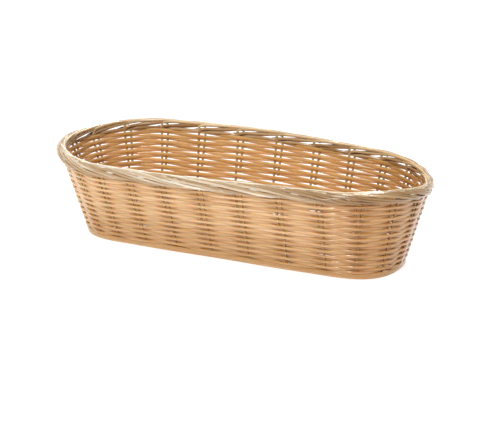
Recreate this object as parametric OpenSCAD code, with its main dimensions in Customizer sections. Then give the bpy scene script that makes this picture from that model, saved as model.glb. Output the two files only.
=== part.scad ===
// Oblong woven bread basket: flared plain-weave wall, woven oval base, rolled border.
// Millimetres, +Z up. The origin is the middle of the underside.

/* [Overall size] */
// Length over the border
basket_length = 380; // [340:5:420]
// Width over the border
basket_width = 157; // [145:1:175]
// Height from the underside to the top of the border
basket_height = 87.5; // [80:0.5:100]
// Length of the underside, over the weave
base_length = 326; // [300:1:335]
// Width of the underside, over the weave
base_width = 99; // [90:1:110]
// Length of each rounded end at the border
rim_end_length = 74.5; // [65:0.5:85]
// Length of each rounded end at the underside
base_end_length = 54; // [50:0.5:60]
// How much fuller than an oval the rounded ends of the underside are, at their corners
base_fullness = 3; // [0:0.5:4]

/* [Side weave] */
// Number of woven rows up the side
row_count = 28; // [22:1:29]
// Thickness of the weaver, across the wall
weaver_thickness = 2.6; // [2:0.1:2.8]
// Height of the border above the last row
border_height = 9.1; // [8:0.1:14]
// Straight steps from one stake pair to the next
steps_per_span = 6; // [4:1:8]

/* [Stakes] */
// Diameter of one stake
stake_diameter = 2.2; // [1.8:0.1:2.4]
// Distance from a stake to its bye-stake, at the border
bye_gap_head = 6.4; // [3:0.1:7]
// Distance from a stake to its bye-stake, at the bye-stake's foot
bye_gap_foot = 4.3; // [2.6:0.1:5]
// Height at which the bye-stakes end
bye_foot_z = 45; // [10:1:60]

/* [Border] */
// Width of the border, across the wall
border_width = 12; // [11:0.1:14]
// Height of the course that closes the border
cap_height = 3.8; // [3:0.1:5]

/* [Base] */
// Height of the base weave above the surface the basket stands on
base_lift = 0.6; // [0.2:0.1:1.5]
// Distance from one turn of the base weave to the next
base_pitch = 3; // [2.8:0.1:4]
// Half width of the open strip that the spine fills
spine_half_width = 6; // [5:0.5:8]
// Number of sticks in the spine
spine_count = 4; // [2:1:4]

/* [Hidden] */
pair_count = 26;
clearance = 0.12;
touch = 0.05;
// Where the first pair stands, and how the pairs spread along the sides and crowd at the ends
first_pair = 0.805;
end_crowding = 0.154;
end_skew = -0.126;
side_crowding = 0.029;
side_skew = 0.012;

row_pitch = (basket_height - border_height) / row_count;
wall_lean = atan((basket_width - base_width) / 2 / basket_height);
weave_offset = (stake_diameter / cos(wall_lean) + weaver_thickness) / 2 + clearance;
weave_reach = weave_offset + weaver_thickness / 2;

// The middle of the wall, at the underside and at the height where the border is centred
rim_z = basket_height - border_height / 2;
rim_plan = [(basket_length - border_width) / 2, (basket_width - border_width) / 2, rim_end_length, 0];
base_plan = [base_length / 2 - weave_reach, base_width / 2 - weave_reach, base_end_length, base_fullness];

// Share of the way round that one rounded end takes, and one straight side
rim_end_arc = PI * sqrt((pow(rim_plan[2], 2) + pow(rim_plan[1], 2)) / 2);
rim_side_run = 2 * (rim_plan[0] - rim_plan[2]);
end_share = rim_end_arc / (rim_end_arc + rim_side_run) / 2;
side_share = 0.5 - end_share;
far_side_middle = end_share + side_share / 2;

base_stick_z = base_lift + weaver_thickness + touch + stake_diameter / 2;
base_turns = floor((base_plan[1] - weave_reach - spine_half_width) / base_pitch);
spine_half_length = base_plan[0] - base_plan[1] + spine_half_width;

pair_numbers = [for (i = [0 : pair_count - 1]) i];
row_numbers = [for (i = [0 : row_count - 1]) i];
function two_digits(n) = n < 10 ? str("0", n) : str(n);
function row_name(i) = str("side_weave_row_", two_digits(i + 1));
function pair_name(i) = str("stake_pair_", two_digits(i + 1));

weaver_colour = [0.86, 0.63, 0.40];
stake_colour = [0.62, 0.47, 0.28];
border_colour = [0.76, 0.64, 0.46];

// --- Outline of the basket -------------------------------------------------------------

function mix(a, b, share) = a + (b - a) * share;
function fraction(v) = v - floor(v);

// Plan [half length, half width, end length, fullness] of the middle of the wall at height z
function wall_plan(z) = mix(base_plan, rim_plan, z / rim_z);

// Point on a plan, t of the way round it, from the near side's right-hand end
function round_end(plan, share, side) =
    let (angle = 180 * share - 90, full = plan[3] * pow(sin(2 * angle), 2))
    side * [plan[0] - plan[2] + (plan[2] + full) * cos(angle), (plan[1] + full) * sin(angle)];
function straight_side(plan, share, side) = [side * (plan[0] - plan[2]) * (1 - 2 * share), side * plan[1]];
function plan_point(plan, t) =
    let (half = fraction(2 * t) / 2, side = fraction(t) < 0.5 ? 1 : -1)
    half < end_share
        ? round_end(plan, half / end_share, side)
        : straight_side(plan, (half - end_share) / side_share, side);

// Unit vector along a plan, and the one that points out of it
function plan_tangent(plan, t) =
    let (d = plan_point(plan, t + 0.0005) - plan_point(plan, t - 0.0005))
    d / norm(d);
function plan_normal(plan, t) =
    let (tangent = plan_tangent(plan, t))
    [tangent[1], -tangent[0]];
function offset_point(plan, t, distance) = plan_point(plan, t) + plan_normal(plan, t) * distance;

// Share of the way round at which stake pair k stands; k may lie between two pairs
function pair_share(k) =
    let (even = (k + first_pair) / pair_count, turn = 360 * (even - far_side_middle))
    even
    + (end_crowding * sin(2 * turn) + end_skew * cos(2 * turn)) / (4 * PI)
    + (side_crowding * sin(turn) + side_skew * cos(turn)) / (2 * PI);

// --- Building blocks -------------------------------------------------------------------

// How far out a weaver lies k pairs along: 1 outside a pair, -1 inside it, flat at each pair
function weave_wave(k) =
    let (c = cos(180 * k))
    1.5 * c - 0.5 * pow(c, 3);

// Flat closed band along a plan, as points on its outer and inner edges
module band(outer, inner, height) {
    count = len(outer);
    linear_extrude(height)
        polygon(
            points = concat(outer, inner),
            paths = [[for (i = [0 : count - 1]) i], [for (i = [0 : count - 1]) count + i]]
        );
}

// Smooth ring that reaches from near to far, measured outward from the middle of the wall
module plain_ring(plan, near, far, height) {
    stations = [for (i = [0 : 4 * pair_count - 1]) i / (4 * pair_count)];
    band(
        [for (t = stations) offset_point(plan, t, far)],
        [for (t = stations) offset_point(plan, t, near)],
        height
    );
}

// Round rod from one point to another
module rod(from, to) {
    run = to - from;
    length = norm(run);
    translate(from)
        rotate([0, acos(run[2] / length), atan2(run[1], run[0])])
            cylinder(h = length, d = stake_diameter, $fn = 24);
}

// --- Side ------------------------------------------------------------------------------

// One row of the side weave, outside every other pair; the next row is outside the others
module side_weave_row(i) {
    z = i * row_pitch;
    plan = wall_plan(z + row_pitch / 2);
    side = i % 2 == 0 ? 1 : -1;
    stations = [for (k = [0 : pair_count * steps_per_span - 1]) k / steps_per_span];
    waves = [for (k = stations) side * weave_offset * weave_wave(k)];
    shares = [for (k = stations) pair_share(k)];
    last = len(stations) - 1;
    color(weaver_colour)
        translate([0, 0, z])
            band(
                [for (n = [0 : last]) offset_point(plan, shares[n], waves[n] + weaver_thickness / 2)],
                [for (n = [0 : last]) offset_point(plan, shares[n], waves[n] - weaver_thickness / 2)],
                row_pitch - touch
            );
}

// Foot or head of one stake: on the middle of the wall, beside its pair's centre line
function stake_point(k, z, aside) =
    let (plan = wall_plan(z), t = pair_share(k), p = plan_point(plan, t) + plan_tangent(plan, t) * aside)
    [p[0], p[1], z];

// A stake the whole height of the wall, and the bye-stake pushed in beside its upper part
module stake_pair(k) {
    foot_z = stake_diameter / 2;
    head_z = basket_height - cap_height - stake_diameter / 2;
    drift = bye_gap_head / 2;
    drift_at_bye_foot = drift * (bye_foot_z - foot_z) / (head_z - foot_z);
    color(stake_colour) {
        rod(stake_point(k, foot_z, 0), stake_point(k, head_z, drift));
        rod(stake_point(k, bye_foot_z, drift_at_bye_foot - bye_gap_foot), stake_point(k, head_z, -drift));
    }
}

// --- Base ------------------------------------------------------------------------------

// Plan of a base turn that lies inset inside the middle of the wall; inner turns are nearer to ovals
function base_turn_plan(inset) = base_plan - inset * [1, 1, 1, base_plan[3] / base_plan[1]];

// Turns of weaver that fill the base from the wall to the spine
module base_weave() {
    color(weaver_colour)
        translate([0, 0, base_lift])
            for (i = [0 : base_turns - 1]) {
                inset = weave_reach + clearance + weaver_thickness / 2 + i * base_pitch;
                plain_ring(base_turn_plan(inset), -weaver_thickness / 2, weaver_thickness / 2, weaver_thickness);
            }
}

// Point on the spine's edge that a base stick from pair k runs to
function spine_point(outer) =
    let (x = max(-spine_half_length, min(spine_half_length, outer[0])), reach = outer - [x, 0])
    [x, 0] + reach / norm(reach) * (spine_half_width + stake_diameter);

// Sticks from the spine to the wall, one for each stake
module base_sticks() {
    color(stake_colour)
        for (k = pair_numbers) {
            outer = plan_point(base_turn_plan(weave_reach + stake_diameter), pair_share(k));
            inner = spine_point(outer);
            rod([inner[0], inner[1], base_stick_z], [outer[0], outer[1], base_stick_z]);
        }
}

// Sticks along the middle of the base
module base_spine() {
    gap = 2 * spine_half_width / spine_count;
    color(stake_colour)
        for (i = [0 : spine_count - 1]) {
            y = (i - (spine_count - 1) / 2) * gap;
            rod([-spine_half_length, y, base_stick_z], [spine_half_length, y, base_stick_z]);
        }
}

// --- Border ----------------------------------------------------------------------------

border_z = basket_height - border_height;
border_gap = stake_diameter / cos(wall_lean) / 2 + clearance;

// Inner or outer course, below the cap
module border_side_course(near, far) {
    color(border_colour)
        translate([0, 0, border_z])
            plain_ring(rim_plan, near, far, border_height - cap_height - touch);
}

// Bundle that lies along the inside of the stakes
module border_inner_course() {
    border_side_course(-border_width / 2, -border_gap - tan(wall_lean) * border_height / 2);
}

// Bundle that lies along the outside of the stakes
module border_outer_course() {
    border_side_course(border_gap + tan(wall_lean) * border_height / 2, border_width / 2);
}

// Bundle that closes the top of the border
module border_cap_course() {
    color(border_colour)
        translate([0, 0, basket_height - cap_height])
            plain_ring(rim_plan, -border_width / 2, border_width / 2, cap_height);
}

// --- The basket ------------------------------------------------------------------------

for (i = row_numbers)
    side_weave_row(i);
for (i = pair_numbers)
    stake_pair(i);
base_weave();
base_sticks();
base_spine();
border_inner_course();
border_outer_course();
border_cap_course();
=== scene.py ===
"""Looks of the oblong woven bread basket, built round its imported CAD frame. Metres, +Z up."""

import bpy
import numpy as np
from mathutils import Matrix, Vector

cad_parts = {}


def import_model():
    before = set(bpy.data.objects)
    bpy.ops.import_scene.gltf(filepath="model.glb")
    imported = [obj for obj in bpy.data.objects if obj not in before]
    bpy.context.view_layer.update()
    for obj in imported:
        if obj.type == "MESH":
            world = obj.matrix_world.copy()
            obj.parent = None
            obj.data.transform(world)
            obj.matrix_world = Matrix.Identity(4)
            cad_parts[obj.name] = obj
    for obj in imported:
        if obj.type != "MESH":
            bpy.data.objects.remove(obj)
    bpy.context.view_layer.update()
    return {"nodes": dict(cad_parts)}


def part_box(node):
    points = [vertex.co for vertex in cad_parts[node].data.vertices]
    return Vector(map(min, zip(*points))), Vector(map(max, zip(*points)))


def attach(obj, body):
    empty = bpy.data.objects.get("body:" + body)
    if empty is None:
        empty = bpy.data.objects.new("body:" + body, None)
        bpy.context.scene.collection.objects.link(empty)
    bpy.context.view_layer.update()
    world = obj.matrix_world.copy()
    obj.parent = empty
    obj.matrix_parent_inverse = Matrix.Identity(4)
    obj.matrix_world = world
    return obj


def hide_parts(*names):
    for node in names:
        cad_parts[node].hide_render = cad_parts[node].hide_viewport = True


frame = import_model()

MM = 0.001
UP = np.array([0.0, 0.0, 1.0])
rng = np.random.default_rng(20)

# --- Sizes, from the frame -------------------------------------------------------------

ROWS = sorted(n for n in frame["nodes"] if n.startswith("side_weave_row_"))
PAIRS = sorted(n for n in frame["nodes"] if n.startswith("stake_pair_"))
PAIR_COUNT = len(PAIRS)

_, CAP_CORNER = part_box("border_cap_course")
COURSE_CORNER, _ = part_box("border_outer_course")
BORDER_TOP = CAP_CORNER[2]
BORDER_FOOT = COURSE_CORNER[2]
BORDER_WIDTH = 12 * MM
RIM_Z = (BORDER_FOOT + BORDER_TOP) / 2

WEAVER_DEPTH = 2.0 * MM
WEAVER_HEIGHT = 3.55 * MM
STAKE = 2.4 * MM
BORDER_CANE = 2.4 * MM

# The wall's middle lies this far inside its outer face
WALL_REACH = 3.86 * MM
BASE_LENGTH = 326 * MM
BASE_WIDTH = 99 * MM

# Length of a rounded end, and how much fuller the corners of the base's ends are than an oval's
RIM_END, BASE_END = 74.5 * MM, 54 * MM
BASE_FULLNESS = 3 * MM

# Half length, half width, end length and fullness, for the middle of the wall at the border and
# at the underside
RIM_PLAN = np.array([
    CAP_CORNER[0] - BORDER_WIDTH / 2,
    CAP_CORNER[1] - BORDER_WIDTH / 2,
    RIM_END,
    0.0,
])
BASE_PLAN = np.array([
    BASE_LENGTH / 2 - WALL_REACH,
    BASE_WIDTH / 2 - WALL_REACH,
    BASE_END,
    BASE_FULLNESS,
])

# Where the first pair stands, and how the pairs spread along the sides and crowd at the ends
FIRST_PAIR = 0.805
END_CROWDING, END_SKEW = 0.154, -0.126
SIDE_CROWDING, SIDE_SKEW = 0.029, 0.012

# A hand-made rim isn't level: its rises and dips round the basket, as cosine and sine waves.
# Nor does it stand quite over the middle of the base
RIM_WAVES = {1: (0.0, 0.9 * MM), 2: (-2.2 * MM, -2.4 * MM), 3: (-1.1 * MM, -2.4 * MM)}
RIM_SHIFT = np.array([-1.8 * MM, -0.5 * MM])

# Shares of the way round that one rounded end and one side take up
END_ARC = np.pi * np.sqrt((RIM_END**2 + RIM_PLAN[1] ** 2) / 2)
SIDE_RUN = 2 * (RIM_PLAN[0] - RIM_END)
END_SHARE = END_ARC / (END_ARC + SIDE_RUN) / 2
SIDE_SHARE = 0.5 - END_SHARE
FAR_SIDE_MIDDLE = END_SHARE + SIDE_SHARE / 2


# --- Shape of the wall -----------------------------------------------------------------


def plan_points(plan, t):
    """Points on an oval plan, t of the way round it from the near side's right-hand end."""
    t = np.asarray(t, float)
    half = np.mod(2 * t, 1) / 2
    side = np.where(np.mod(t, 1) < 0.5, 1.0, -1.0)
    angle = np.pi * (half / END_SHARE - 0.5)
    along = 1 - 2 * (half - END_SHARE) / SIDE_SHARE
    round_end = half < END_SHARE
    half_length, half_width, end_length, fullness = np.moveaxis(plan, -1, 0)
    straight = half_length - end_length
    full = fullness * np.sin(2 * angle) ** 2
    x = np.where(round_end, straight + (end_length + full) * np.cos(angle), straight * along)
    y = np.where(round_end, (half_width + full) * np.sin(angle), half_width)
    return np.stack([side * x, side * y], axis=-1)


def plan_normals(plan, t):
    """Unit vectors that point out of a plan."""
    step = 0.0005
    run = plan_points(plan, np.asarray(t) + step) - plan_points(plan, np.asarray(t) - step)
    run /= np.linalg.norm(run, axis=-1, keepdims=True)
    return np.stack([run[..., 1], -run[..., 0]], axis=-1)


def pair_share(k):
    """Share of the way round at which stake pair k stands; k may lie between two pairs."""
    even = (np.asarray(k, float) + FIRST_PAIR) / PAIR_COUNT
    turn = 2 * np.pi * (even - FAR_SIDE_MIDDLE)
    ends = END_CROWDING * np.sin(2 * turn) + END_SKEW * np.cos(2 * turn)
    sides = SIDE_CROWDING * np.sin(turn) + SIDE_SKEW * np.cos(turn)
    return even + ends / (4 * np.pi) + sides / (2 * np.pi)


def wall_points(k, z, out=0.0):
    """Points in the wall at pair number k and level z, out from its middle; also the way out."""
    k, z, out = np.broadcast_arrays(*(np.asarray(value, float) for value in (k, z, out)))
    level = (z / RIM_Z)[..., None]
    plan = BASE_PLAN + (RIM_PLAN - BASE_PLAN) * level
    t = pair_share(k)
    flat = plan_points(plan, t)
    normal = plan_normals(plan, t)
    angle = np.arctan2(flat[..., 1] / plan[..., 1], flat[..., 0] / plan[..., 0])
    rise = sum(c * np.cos(n * angle) + s * np.sin(n * angle) for n, (c, s) in RIM_WAVES.items())
    place = flat + normal * out[..., None] + RIM_SHIFT * level
    points = np.concatenate([place, (z + rise * level[..., 0])[..., None]], axis=-1)
    outward = np.concatenate([normal, np.zeros_like(normal[..., :1])], axis=-1)
    return points, outward


def pair_span(k):
    """Length of one pair space round the wall, at pair number k."""
    near, _ = wall_points(k - 0.5, RIM_Z)
    far, _ = wall_points(k + 0.5, RIM_Z)
    return np.linalg.norm(far - near)


def wobble(k, size, waves, lowest):
    """Smooth random unevenness at pair numbers k, closed round the basket.

    It adds up a number of waves, of which the slowest swings lowest times in a round.
    """
    total = np.zeros_like(np.asarray(k, float))
    for n in range(lowest, lowest + waves):
        total += rng.normal() * np.cos(2 * np.pi * (n * k / PAIR_COUNT + rng.random()))
    return size * total / np.sqrt(waves)


# --- Strand meshes ---------------------------------------------------------------------


def unit(vectors):
    """The same vectors, each made one long."""
    return vectors / np.linalg.norm(vectors, axis=1, keepdims=True)


def strand_axes(path, outward, closed):
    """Unit vectors across a strand at each station: along outward, and square to it."""
    ahead = np.roll(path, -1, 0) - np.roll(path, 1, 0)
    if not closed:
        ahead[0] = path[1] - path[0]
        ahead[-1] = path[-1] - path[-2]
    ahead = unit(ahead)
    outward = np.broadcast_to(outward, path.shape)
    side = unit(outward - ahead * np.sum(outward * ahead, axis=1, keepdims=True))
    return side, np.cross(ahead, side)


class Strands:
    """Round strands swept along paths, gathered into one mesh piece."""

    SIDES = 12
    # Below 1 the section is a little squarer than an ellipse
    FULLNESS = 0.88

    def __init__(self):
        self.points, self.faces, self.uvs, self.tones, self.depths = [], [], [], [], []
        self.count = 0

    def add(self, path, outward, half_depth, half_height, closed=False, tone=None, inside=0.5):
        """One strand: half_depth is measured along outward, half_height across it.

        inside is 1 where the strand runs on the wall's inner side and 0 on its outer side.
        """
        path = np.asarray(path, float)
        n, m = len(path), self.SIDES
        side, up = strand_axes(path, outward, closed)
        depth = np.broadcast_to(half_depth, n)[:, None, None]
        height = np.broadcast_to(half_height, n)[:, None, None]
        turn = 2 * np.pi * np.arange(m) / m
        across = np.sign(np.cos(turn)) * np.abs(np.cos(turn)) ** self.FULLNESS
        upward = np.sign(np.sin(turn)) * np.abs(np.sin(turn)) ** self.FULLNESS
        ring = path[:, None] + side[:, None] * depth * across[None, :, None]
        ring = ring + up[:, None] * height * upward[None, :, None]
        self.skin(path, closed)
        self.points.append(ring.reshape(-1, 3))
        self.tones.append(np.full(n * m, rng.random() if tone is None else tone))
        self.depths.append(np.repeat(np.broadcast_to(inside, n), m))
        self.count += n * m

    def skin(self, path, closed):
        """Faces round the strand, with UVs: metres along it and share of the way round it."""
        n, m, base = len(path), self.SIDES, self.count
        steps = np.linalg.norm(np.roll(path, -1, 0) - path, axis=1)
        length = np.concatenate([[0], np.cumsum(steps)])
        for i in range(n if closed else n - 1):
            a, b = base + i * m, base + (i + 1) % n * m
            for j in range(m):
                k = (j + 1) % m
                self.faces.append((a + j, b + j, b + k, a + k))
                u0, u1, v0, v1 = length[i], length[i + 1], j / m, (j + 1) / m
                self.uvs.extend([(u0, v0), (u1, v0), (u1, v1), (u0, v1)])
        if not closed:
            last = base + (n - 1) * m
            self.faces.append(tuple(base + j for j in range(m)))
            self.faces.append(tuple(last + j for j in reversed(range(m))))
            self.uvs.extend([(0.0, j / m) for j in range(m)])
            self.uvs.extend([(length[n - 1], j / m) for j in reversed(range(m))])

    def piece(self, name, material, slot, *nodes):
        """The finished object, riding on the basket and standing for its CAD nodes."""
        mesh = bpy.data.meshes.new(name)
        mesh.from_pydata(np.concatenate(self.points).tolist(), [], self.faces)
        layer = mesh.uv_layers.new(name="strand")
        layer.data.foreach_set("uv", np.array(self.uvs, float).ravel())
        for label, values in (("tone", self.tones), ("inside", self.depths)):
            layer = mesh.attributes.new(label, "FLOAT", "POINT")
            layer.data.foreach_set("value", np.concatenate(values))
        # The sides are smooth, and the cut ends, which have more corners, are flat
        mesh.polygons.foreach_set("use_smooth", [len(face) == 4 for face in self.faces])
        mesh.materials.append(material)
        mesh.update()
        thing = bpy.data.objects.new(name, mesh)
        bpy.context.scene.collection.objects.link(thing)
        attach(thing, "root")
        if nodes:
            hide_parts(*nodes)
        return thing


# --- Materials -------------------------------------------------------------------------

# Grain on a strand: features in a metre along it, features across it, and detail
PATCHES = (18.0, 0.25, 2.0)
STREAKS = (60.0, 3.0, 3.0)
GROOVES = (25.0, 5.0, 2.0)
PATCH_SHARE = 0.6
# Strands of different tone have their grain this much apart
GRAIN_SPREAD = 40.0
# Where the darkest, middle and palest of a look's colours lie on the blend of patches and streaks
DARK_AT, MIDDLE_AT, PALE_AT = 0.3, 0.5, 0.72
GROOVE_DEPTH = 0.15 * MM
STREAK_ROUGHNESS = 0.12

# How far round a strand the painted inner shade reaches, as cosines from the way out
TINT_START, TINT_FULL = 0.6, -1.0

# Painted shade darkens the colour toward the foot of the basket and toward its right-hand end
PAINTED_SHADE_TINT = (0.75, 0.63, 0.43)
SHADE_FOOT_TOP = 62 * MM
SHADE_FOOT_SHARE = 0.62
SHADE_END_START, SHADE_END_FULL = 50 * MM, 165 * MM

# Light goes a little way into the plastic, red the furthest
GLOW_COLOUR = (1.0, 0.45, 0.15)
GLOW_REACH = 3.2 * MM
GLOSS = 0.6
COAT, COAT_ROUGHNESS = 0.5, 0.12


class Shading:
    """A principled material, with short ways to add nodes to it."""

    def __init__(self, name):
        self.material = bpy.data.materials.new(name)
        self.material.use_nodes = True
        self.nodes = self.material.node_tree.nodes
        self.links = self.material.node_tree.links
        self.shader = self.nodes["Principled BSDF"]

    def node(self, kind, **settings):
        """A new node with its settings made."""
        node = self.nodes.new(kind)
        for name, value in settings.items():
            setattr(node, name, value)
        return node

    def math(self, operation, *values):
        """Result of a math node on numbers or other nodes' outputs."""
        node = self.node("ShaderNodeMath", operation=operation)
        for socket, value in zip(node.inputs, values):
            if isinstance(value, (int, float)):
                socket.default_value = value
            else:
                self.links.new(value, socket)
        return node.outputs[0]

    def split(self, vector):
        """X, Y and Z of a vector."""
        node = self.node("ShaderNodeSeparateXYZ")
        self.links.new(vector, node.inputs[0])
        return node.outputs

    def rise(self, value, start, stop, top=1.0, shape="LINEAR"):
        """From 0 where value is start to top where it is stop; stop may be the lower one."""
        node = self.node("ShaderNodeMapRange", interpolation_type=shape)
        node.inputs["From Min"].default_value = min(start, stop)
        node.inputs["From Max"].default_value = max(start, stop)
        node.inputs["To Min"].default_value = 0.0 if start < stop else top
        node.inputs["To Max"].default_value = top if start < stop else 0.0
        self.links.new(value, node.inputs["Value"])
        return node.outputs[0]

    def colours(self, value, colours):
        """Dark, middle and pale colour, blended by value."""
        node = self.node("ShaderNodeValToRGB")
        elements = node.color_ramp.elements
        elements[0].position = DARK_AT
        elements[1].position = PALE_AT
        elements.new(MIDDLE_AT)
        for element, colour in zip(elements, colours):
            element.color = (*colour, 1.0)
        self.links.new(value, node.inputs[0])
        return node.outputs[0]

    def tinted(self, colour, tint, share):
        """A colour multiplied by a tint, as far as share says."""
        node = self.node("ShaderNodeMix", data_type="RGBA", blend_type="MULTIPLY")
        node.inputs["B"].default_value = (*tint, 1.0)
        self.links.new(share, node.inputs["Factor"])
        self.links.new(colour, node.inputs["A"])
        return node.outputs["Result"]


def strand_grain(look, run, angle, seed, along, across, detail):
    """Noise drawn out along a strand, without a seam round it."""
    place = look.node("ShaderNodeCombineXYZ")
    look.links.new(look.math("MULTIPLY", run, along), place.inputs["X"])
    look.links.new(look.math("MULTIPLY", look.math("COSINE", angle), across), place.inputs["Y"])
    look.links.new(look.math("MULTIPLY", look.math("SINE", angle), across), place.inputs["Z"])
    noise = look.node("ShaderNodeTexNoise", noise_dimensions="4D")
    noise.inputs["Scale"].default_value = 1.0
    noise.inputs["Detail"].default_value = detail
    look.links.new(place.outputs[0], noise.inputs["Vector"])
    look.links.new(seed, noise.inputs["W"])
    return noise.outputs["Fac"]


def painted_shade(look):
    """How far painted shade darkens the basket, by place: toward its foot and its right-hand end."""
    x, _, z = look.split(look.node("ShaderNodeNewGeometry").outputs["Position"])
    foot = look.rise(z, SHADE_FOOT_TOP, 0.0, SHADE_FOOT_SHARE, "SMOOTHSTEP")
    end = look.rise(x, SHADE_END_START, SHADE_END_FULL, 1.0, "SMOOTHSTEP")
    return look.math("MAXIMUM", foot, end)


def strand_material(name, colours, roughness, bump, glow, painted_inner_shade, variety):
    """Drawn plastic cane: streaks along the strand, tone shifts between and along strands.

    variety is how much the colour depends on the strand's own tone. The inner tint is painted shade,
    warm like bounced light: it colours the side that faces into the basket, most of all where the
    strand runs on the inner side of the wall.
    """
    look = Shading(name)
    shader = look.shader
    run, round_share, _ = look.split(look.node("ShaderNodeUVMap", uv_map="strand").outputs[0])
    angle = look.math("MULTIPLY", round_share, 2 * np.pi)
    tone = look.node("ShaderNodeAttribute", attribute_name="tone").outputs["Fac"]
    inside = look.node("ShaderNodeAttribute", attribute_name="inside").outputs["Fac"]
    seed = look.math("MULTIPLY", tone, GRAIN_SPREAD)
    patches = strand_grain(look, run, angle, seed, *PATCHES)
    streaks = strand_grain(look, run, angle, seed, *STREAKS)
    grooves = strand_grain(look, run, angle, seed, *GROOVES)

    patches = look.math("MULTIPLY", patches, PATCH_SHARE)
    blend = look.math("ADD", patches, look.math("MULTIPLY", streaks, 1 - PATCH_SHARE))
    blend = look.math("MULTIPLY", blend, 1 - variety)
    blend = look.math("ADD", blend, look.math("MULTIPLY", tone, variety))
    colour = look.colours(blend, colours)
    facing_in = look.rise(look.math("COSINE", angle), TINT_START, TINT_FULL)
    # Painted shade, warm like bounced light, on the side of each strand facing into the basket
    colour = look.tinted(colour, painted_inner_shade, look.math("MULTIPLY", facing_in, inside))
    # Painted shade toward the foot and the right-hand end
    colour = look.tinted(colour, PAINTED_SHADE_TINT, painted_shade(look))
    look.links.new(colour, shader.inputs["Base Color"])

    rough = look.math("MULTIPLY", streaks, STREAK_ROUGHNESS)
    rough = look.math("ADD", rough, roughness - STREAK_ROUGHNESS / 2)
    look.links.new(rough, shader.inputs["Roughness"])
    relief = look.node("ShaderNodeBump")
    relief.inputs["Strength"].default_value = bump
    relief.inputs["Distance"].default_value = GROOVE_DEPTH
    look.links.new(grooves, relief.inputs["Height"])
    look.links.new(relief.outputs[0], shader.inputs["Normal"])
    shader.inputs["Specular IOR Level"].default_value = GLOSS
    shader.inputs["Coat Weight"].default_value = COAT
    shader.inputs["Coat Roughness"].default_value = COAT_ROUGHNESS
    shader.inputs["Subsurface Weight"].default_value = glow
    shader.inputs["Subsurface Radius"].default_value = GLOW_COLOUR
    shader.inputs["Subsurface Scale"].default_value = GLOW_REACH
    return look.material


WEAVER_LOOK = strand_material(
    "weaver_cane",
    [(0.49, 0.275, 0.096), (0.62, 0.382, 0.172), (0.73, 0.492, 0.278)],
    roughness=0.2,
    bump=0.5,
    glow=0.6,
    painted_inner_shade=(1.0, 0.96, 0.68),
    variety=0.2,
)
STAKE_LOOK = strand_material(
    "stake_cane",
    [(0.31, 0.155, 0.045), (0.41, 0.225, 0.07), (0.50, 0.30, 0.115)],
    roughness=0.24,
    bump=0.5,
    glow=0.6,
    painted_inner_shade=(1.0, 0.95, 0.85),
    variety=0.2,
)
# Its palest colour, near white, also serves as the painted highlight of the ends laid along the top
BORDER_LOOK = strand_material(
    "border_cane",
    [(0.27, 0.155, 0.065), (0.45, 0.30, 0.155), (0.86, 0.75, 0.62)],
    roughness=0.17,
    bump=0.2,
    glow=0.3,
    painted_inner_shade=(0.80, 0.66, 0.44),
    variety=0.45,
)

# --- Side weave ------------------------------------------------------------------------

WEAVE_OFFSET = 1.45 * MM
# Above 0 a weaver stays nearer the middle of the wall between its bends round the pairs
WEAVE_SLACK = 0.2
# A weaver is squeezed lower, by this share, where it bends round the outside of a pair
OUTER_PINCH = 0.32
FLOOR_CLEARANCE = 0.2 * MM
# Unevenness of a weaver's thickness (a share), of its place across the wall and of its level.
# Each is a size, the number of waves and the fewest swings of one in a round
SIZE_WOBBLE = (0.025, 7, 6)
OUT_WOBBLE = (0.12 * MM, 9, 4)
LEVEL_WOBBLE = (0.16 * MM, 9, 5)
STATIONS_PER_SPAN = 14
ROUND_STATIONS = np.arange(PAIR_COUNT * STATIONS_PER_SPAN) / STATIONS_PER_SPAN

WALE_ROWS = 2
WALE_SPAN = 3
# The pair that the first waling weaver starts from, and the pair spaces by which its ends overlap
WALE_START = 10
WALE_OVERLAP = 0.4
WALE_MIDDLE, WALE_SWING = 0.75, 0.25


def weave_wave(k):
    """How far out a weaver lies at k: 1 outside a pair, -1 inside the next."""
    c = np.cos(np.pi * k)
    return (1 - WEAVE_SLACK) * c + WEAVE_SLACK * c**3


def wale_wave(k, start):
    """How far out a waling weaver lies: well out past two pairs, then closer in past the third."""
    return WALE_MIDDLE - WALE_SWING * np.cos(2 * np.pi * (k - start) / WALE_SPAN)


def side_weave_row(index, node):
    """One row of round weaver; the lowest rows are waling, the rest go outside every other pair."""
    low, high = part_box(node)
    strands = Strands()
    waling = index < WALE_ROWS
    if waling:
        start = WALE_START + index
        k = np.arange((PAIR_COUNT + WALE_OVERLAP) * STATIONS_PER_SPAN) / STATIONS_PER_SPAN + start
        wave = wale_wave(k, start)
    else:
        k = ROUND_STATIONS
        wave = (1 if index % 2 == 0 else -1) * weave_wave(k)
    size = 1 + wobble(k, *SIZE_WOBBLE)
    out = WEAVE_OFFSET * wave + wobble(k, *OUT_WOBBLE)
    level = (low[2] + high[2]) / 2 + wobble(k, *LEVEL_WOBBLE)
    level = np.maximum(level, WEAVER_HEIGHT / 2 * size + FLOOR_CLEARANCE)
    path, outward = wall_points(k, level, out)
    pinch = 0 if waling else OUTER_PINCH * np.clip(wave, 0, 1) ** 2
    half_height = WEAVER_HEIGHT / 2 * size * (1 - pinch)
    inside = np.clip(0.5 - 0.5 * wave, 0, 1)
    strands.add(path, outward, WEAVER_DEPTH / 2 * size, half_height, not waling, inside=inside)
    return strands.piece(f"{node}_strand", WEAVER_LOOK, "weaver", node)


for row_index, row_node in enumerate(ROWS):
    side_weave_row(row_index, row_node)

# --- Stakes ----------------------------------------------------------------------------

FOOT_Z = 1.6 * MM
HEAD_Z = BORDER_FOOT + 0.5 * MM
STAKE_STATIONS = 24
# The stakes curve in toward the base over their lowest part
FOOT_TUCK = 3.5 * MM
FOOT_RISE = 12 * MM
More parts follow.
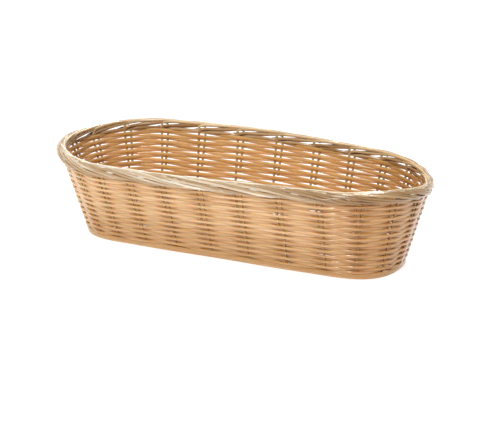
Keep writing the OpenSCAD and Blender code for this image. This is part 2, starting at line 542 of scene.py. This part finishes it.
# How far apart the stake and its bye-stake stand, where the bye-stakes end, and how both vary
BYE_GAP_HEAD = 6.4 * MM
BYE_GAP_FOOT = 4.3 * MM
BYE_FOOT_Z = 45 * MM
BYE_FOOT_SPREAD = 4 * MM
GAP_SPREAD = 0.15


def stake_pair(number, node):
    """A stake the whole height of the wall, and the bye-stake beside its upper part."""
    strands = Strands()
    drift = BYE_GAP_HEAD / 2 * rng.uniform(1 - GAP_SPREAD, 1 + GAP_SPREAD)
    for foot_z, bye in ((FOOT_Z, False), (BYE_FOOT_Z + rng.normal(0, BYE_FOOT_SPREAD), True)):
        z = np.linspace(foot_z, HEAD_Z, STAKE_STATIONS)
        aside = drift * (z - FOOT_Z) / (HEAD_Z - FOOT_Z)
        if bye:
            aside -= BYE_GAP_FOOT + (2 * drift - BYE_GAP_FOOT) * (z - foot_z) / (HEAD_Z - foot_z)
        tuck = -FOOT_TUCK * np.clip(1 - z / FOOT_RISE, 0, 1) ** 2
        path, outward = wall_points(number + aside / pair_span(number), z, tuck)
        strands.add(path, outward, STAKE / 2, STAKE / 2)
    return strands.piece(f"{node}_canes", STAKE_LOOK, "stake", node)


for pair_number, pair_node in enumerate(PAIRS):
    stake_pair(pair_number, pair_node)

# --- Border ----------------------------------------------------------------------------

# Ways of the ends of a pair through the border, laid toward the pair before it.
# Each row: pairs passed, distance out (mm), height from the top of the border (mm)
HIGH_WAY = np.array([
    [0.00, -0.8, -10.0],
    [0.00, -2.1, -7.8],
    [0.01, -2.8, -5.5],
    [0.03, -3.1, -3.6],
    [0.12, -3.1, -2.1],
    [0.35, -2.9, -1.3],
    [0.80, -2.5, -0.9],
    [1.25, -1.6, -0.8],
    [1.70, 0.4, -1.1],
    [2.10, 1.9, -2.3],
    [2.45, 2.9, -3.8],
    [2.75, 3.1, -5.4],
])
MIDDLE_WAY = np.array([
    [0.00, -0.8, -10.5],
    [0.02, -2.0, -9.0],
    [0.05, -2.6, -7.2],
    [0.15, -3.1, -5.7],
    [0.40, -3.3, -4.7],
    [0.80, -3.1, -3.3],
    [1.20, -2.3, -2.2],
    [1.70, -0.8, -1.3],
    [2.20, 0.8, -1.4],
    [2.60, 2.0, -2.4],
    [2.85, 2.6, -3.8],
    [3.05, 2.7, -5.2],
])
LOW_WAY = np.array([
    [0.00, -0.6, -11.0],
    [0.03, -1.8, -9.8],
    [0.15, -2.7, -9.1],
    [0.50, -2.8, -8.9],
    [0.80, -1.0, -9.1],
    [1.05, 1.4, -9.0],
    [1.20, 2.5, -8.6],
    [1.45, 3.5, -7.4],
    [1.85, 4.0, -5.1],
    [2.20, 3.7, -3.3],
    [2.70, 2.3, -1.7],
    [3.20, 0.6, -1.2],
    [3.60, -0.9, -1.4],
    [3.85, -1.7, -2.1],
])
# For each strand of a bundle: pairs it lags behind, and its place across the bundle (mm)
SINGLE = ((0.0, 0.0),)
BUNDLE = ((0.0, 0.9), (0.14, -1.1))
# How far the bundle spreads, at numbers of pairs passed
SPREAD_AT, SPREAD = (0.0, 0.8, 1.2, 2.2, 2.8), (1.0, 1.0, 0.7, 0.7, 1.0)
# From the stake (1) or from its bye-stake (-1), where the ends go, and how pale they are; the paler
# high ends are a painted highlight along the top of the border, and the darker low bundle is painted
# shade
LAYS = (
    (1, HIGH_WAY, SINGLE, 0.9),
    (1, MIDDLE_WAY, SINGLE, 0.6),
    (-1, LOW_WAY, BUNDLE, 0.48),
)
TONE_SPREAD = 0.15
# Each end turns from upright to lying over this many pairs passed
LIES_DOWN_OVER = 0.4
# The bundles lie flat on a roll centred this far below the top of the border
BUNDLE_PIVOT = 7.5 * MM
TAIL_STATIONS = 72
# Unevenness of the laid ends, out from the wall and across the bundle, given as for the weavers.
# Along them it changes this many times as quickly
TAIL_OUT_WOBBLE = (0.18 * MM, 4, 2)
TAIL_ACROSS_WOBBLE = (0.15 * MM, 4, 2)
TAIL_WOBBLE_RATE = 6


def smooth_way(table, count):
    """Evenly spaced points on a smooth curve through a table's rows."""
    rows = np.concatenate([[2 * table[0] - table[1]], table, [2 * table[-1] - table[-2]]])
    t = np.linspace(0, len(table) - 1, count)
    i = np.minimum(t.astype(int), len(table) - 2)
    f = (t - i)[:, None]
    p0, p1, p2, p3 = rows[i], rows[i + 1], rows[i + 2], rows[i + 3]
    bend = 2 * p0 - 5 * p1 + 4 * p2 - p3
    twist = 3 * p1 - p0 - 3 * p2 + p3
    return 0.5 * (2 * p1 + (p2 - p0) * f + bend * f**2 + twist * f**3)


def border_tail(strands, number, side, way, bundle, pale):
    """The ends of one stake, bent over and laid round the border as a flat bundle."""
    way = smooth_way(way, TAIL_STATIONS)
    passed, out, height = way[:, 0], way[:, 1] * MM, way[:, 2] * MM
    lying = np.clip(passed / LIES_DOWN_OVER, 0, 1)
    lying = lying * lying * (3 - 2 * lying)
    start = side * BYE_GAP_HEAD / 2 / pair_span(number)
    # Across the bundle, seen in the border's section
    across = unit(np.stack([height + BUNDLE_PIVOT, -out], axis=1))
    spread = np.interp(passed, SPREAD_AT, SPREAD)
    for lag, shift in bundle:
        jitter = wobble(passed * TAIL_WOBBLE_RATE, *TAIL_OUT_WOBBLE)
        offset = wobble(passed * TAIL_WOBBLE_RATE, *TAIL_ACROSS_WOBBLE) + shift * MM * spread * lying
        pairs = number - passed + start * (1 - lying) + lag * lying
        path, outward = wall_points(pairs, RIM_Z, out + jitter + across[:, 0] * offset)
        path[:, 2] += BORDER_TOP - RIM_Z + height + across[:, 1] * offset
        # Painted highlight and shade: ends laid along the top are paler and the low bundle darker;
        # the random spread is the cane's own tone
        tone = np.clip(pale + rng.normal(0, TONE_SPREAD), 0, 1)
        strands.add(path, outward, BORDER_CANE / 2, BORDER_CANE / 2, tone=tone, inside=1.0)


border = Strands()
for pair_number in range(PAIR_COUNT):
    for lay in LAYS:
        border_tail(border, pair_number, *lay)
border.piece(
    "rolled_border",
    BORDER_LOOK,
    "border",
    "border_inner_course",
    "border_outer_course",
    "border_cap_course",
)

# --- Base ------------------------------------------------------------------------------

BASE_PITCH = 3 * MM
BASE_TURNS = 13
# The first turn lies against the lowest row of the wall
BASE_INSET = 1.7 * MM
BASE_STRAND_WIDTH = 3.15 * MM
BASE_STRAND_DEPTH = 0.9 * WEAVER_DEPTH
BASE_Z = 3.1 * MM
BASE_WAVE = 1.9 * MM

STICK_STATIONS = 12
# The sticks end this far inside the spine's edge
STICK_OVERLAP = 3 * MM

SPINE_HALF = 6 * MM
SPINE_STICK = 2.8 * MM
SPINE_STICKS = 4
SPINE_REACH = 0.75 * SPINE_HALF
SPINE_STATIONS = 30


def base_turn_plan(inset):
    """Plan of a base turn inside the middle of the wall; inner turns are nearer to ovals."""
    return BASE_PLAN - inset * np.array([1, 1, 1, BASE_FULLNESS / BASE_PLAN[1]])


def base_weave():
    """Turns of weaver over and under the base sticks, from the wall in to the spine."""
    strands = Strands()
    k = ROUND_STATIONS
    for turn in range(BASE_TURNS):
        plan = base_turn_plan(BASE_INSET + turn * BASE_PITCH)
        side = 1 if turn % 2 == 0 else -1
        flat = plan_points(plan, pair_share(k))
        z = BASE_Z + side * BASE_WAVE * weave_wave(k)
        path = np.concatenate([flat, z[:, None]], axis=1)
        strands.add(path, UP, BASE_STRAND_DEPTH / 2, BASE_STRAND_WIDTH / 2, closed=True)
    return strands.piece("base_weave_strands", WEAVER_LOOK, "weaver", "base_weave")


def base_sticks():
    """Sticks from the wall in to the spine, one for each pair."""
    strands = Strands()
    plan = base_turn_plan(WALL_REACH - WEAVER_DEPTH)
    spine_x = BASE_PLAN[0] - BASE_PLAN[1] + SPINE_HALF
    share = np.linspace(0, 1, STICK_STATIONS)[:, None]
    level = np.full((STICK_STATIONS, 1), BASE_Z)
    for number in range(PAIR_COUNT):
        outer = plan_points(plan, pair_share(number))
        root = np.array([np.clip(outer[0], -spine_x, spine_x), 0])
        reach = outer - root
        inner = root + reach / np.linalg.norm(reach) * (SPINE_HALF - STICK_OVERLAP)
        path = np.concatenate([inner + (outer - inner) * share, level], axis=1)
        strands.add(path, UP, STAKE / 2, STAKE / 2)
    return strands.piece("base_stick_canes", STAKE_LOOK, "stake", "base_sticks")


def base_spine():
    """Long sticks along the middle of the base."""
    strands = Strands()
    low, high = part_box("base_spine")
    x = np.linspace(low[0], high[0], SPINE_STATIONS)
    z = np.full(SPINE_STATIONS, BASE_Z + STAKE)
    for y in np.linspace(-SPINE_REACH, SPINE_REACH, SPINE_STICKS):
        path = np.stack([x, np.full(SPINE_STATIONS, y), z], axis=1)
        strands.add(path, UP, STAKE / 2, SPINE_STICK / 2)
    return strands.piece("base_spine_canes", STAKE_LOOK, "stake", "base_spine")


base_weave()
base_sticks()
base_spine()

# --- Floor, lights and camera ----------------------------------------------------------

WHITE = (1.0, 1.0, 1.0, 1.0)
FLOOR_COLOUR = (0.35, 0.35, 0.35, 1.0)
FLOOR_ROUGHNESS = 0.9
FLOOR_GLOW = 0.75
FLOOR_HALF = 6.0
# Azimuth of the studio's brightest part, and the cosines from it between which it dims
BRIGHT_AZIMUTH = 205
DIM_AT, BRIGHT_AT = -0.6, 0.9

CAMERA_AZIMUTH = 24.64
CAMERA_ELEVATION = 19.3
CAMERA_DISTANCE = 1.906
CAMERA_CLIP = 100
SENSOR_WIDTH = 36.0
FOCAL_LENGTH = 150.0
# The basket stands a little above and right of the photograph's middle, in shares of its width
SHIFT_X, SHIFT_Y = -0.0065, -0.0319


def direction(azimuth, elevation):
    """Unit vector toward a compass azimuth (0 is the near side, in degrees) and elevation."""
    azimuth, elevation = np.radians(azimuth), np.radians(elevation)
    return Vector((
        np.sin(azimuth) * np.cos(elevation),
        -np.cos(azimuth) * np.cos(elevation),
        np.sin(elevation),
    ))


def floor_material():
    """Pale table top with an even glow of its own, so that it stays pale under the basket."""
    material = bpy.data.materials.new("floor_white")
    material.use_nodes = True
    shader = material.node_tree.nodes["Principled BSDF"]
    shader.inputs["Base Color"].default_value = FLOOR_COLOUR
    shader.inputs["Roughness"].default_value = FLOOR_ROUGHNESS
    shader.inputs["Emission Color"].default_value = WHITE
    shader.inputs["Emission Strength"].default_value = FLOOR_GLOW
    return material


def floor():
    """The plain floor that the basket stands on."""
    mesh = bpy.data.meshes.new("floor")
    signs = ((-1, -1), (1, -1), (1, 1), (-1, 1))
    corners = [(x * FLOOR_HALF, y * FLOOR_HALF, 0) for x, y in signs]
    mesh.from_pydata(corners, [], [(0, 1, 2, 3)])
    mesh.materials.append(floor_material())
    thing = bpy.data.objects.new("floor", mesh)
    bpy.context.scene.collection.objects.link(thing)


def soft_light(name, azimuth, elevation, strength, spread):
    """A large soft light far off, in the direction given."""
    light = bpy.data.lights.new(name, "SUN")
    light.energy = strength
    light.angle = np.radians(spread)
    thing = bpy.data.objects.new(name, light)
    thing.rotation_euler = direction(azimuth, elevation).to_track_quat("Z", "Y").to_euler()
    bpy.context.scene.collection.objects.link(thing)


def world(dim, bright):
    """A white studio, brightest behind the basket and to its left."""
    scene_world = bpy.data.worlds.new("studio")
    bpy.context.scene.world = scene_world
    scene_world.use_nodes = True
    nodes, links = scene_world.node_tree.nodes, scene_world.node_tree.links
    background = nodes["Background"]
    background.inputs["Color"].default_value = WHITE
    look = nodes.new("ShaderNodeTexCoord")
    facing = nodes.new("ShaderNodeVectorMath")
    facing.operation = "DOT_PRODUCT"
    facing.inputs[1].default_value = tuple(direction(BRIGHT_AZIMUTH, 0))
    links.new(look.outputs["Generated"], facing.inputs[0])
    level = nodes.new("ShaderNodeMapRange")
    level.inputs["From Min"].default_value = DIM_AT
    level.inputs["From Max"].default_value = BRIGHT_AT
    level.inputs["To Min"].default_value = dim
    level.inputs["To Max"].default_value = bright
    links.new(facing.outputs["Value"], level.inputs["Value"])
    links.new(level.outputs[0], background.inputs["Strength"])


def camera():
    """The camera at the photograph's viewing angle, looking down a little at the basket."""
    data = bpy.data.cameras.new("camera")
    data.sensor_width = SENSOR_WIDTH
    data.lens = FOCAL_LENGTH
    data.clip_end = CAMERA_CLIP
    data.shift_x, data.shift_y = SHIFT_X, SHIFT_Y
    target = Vector((0, 0, BORDER_TOP / 2))
    away = direction(CAMERA_AZIMUTH, CAMERA_ELEVATION)
    thing = bpy.data.objects.new("camera", data)
    thing.location = target + away * CAMERA_DISTANCE
    thing.rotation_euler = (-away).to_track_quat("-Z", "Y").to_euler()
    bpy.context.scene.collection.objects.link(thing)
    bpy.context.scene.camera = thing


bpy.context.scene.view_settings.view_transform = "Standard"
floor()
world(dim=0.4, bright=0.92)
soft_light("key_light", azimuth=0, elevation=40, strength=2.0, spread=12)
soft_light("back_light", azimuth=190, elevation=52, strength=2.8, spread=14)
camera()
